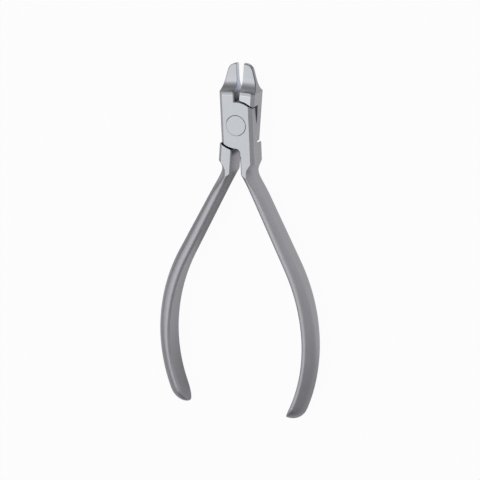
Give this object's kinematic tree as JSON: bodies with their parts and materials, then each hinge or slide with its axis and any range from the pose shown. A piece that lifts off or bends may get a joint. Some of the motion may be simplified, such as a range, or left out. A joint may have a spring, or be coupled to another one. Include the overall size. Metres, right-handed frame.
{
  "type": "orthodontic pliers",
  "caption": "Orthodontic arch bending pliers: lap joint on a flush rivet, thin flat jaws ground hollow behind, and long slender handles that bow round the palm.",
  "frame": {"origin": "where the pivot axis meets the plane that the pliers lie on", "axes": "+Z along the pivot axis, up from the resting plane; +Y from the handles towards the jaws; +X to the right as seen from the front"},
  "size_m": [0.0644, 0.1347, 0.0102],
  "materials": {
    "front_steel": "satin, fine matt blasted",
    "back_steel": "satin, fine matt blasted",
    "rivet_steel": "satin, ground flush with the leaves"
  },
  "bodies": {
    "back body": {"back_half": "back_steel", "pivot_rivet": "rivet_steel"},
    "front body": {"front_half": "front_steel"}
  },
  "joints": [
    {"name": "jaw pivot", "type": "hinge", "parent": "back body", "child": "front body", "pos_m": [0, 0, 0], "axis": [0, 0, 1], "range_deg": [-7.1, 94]}
  ]
}
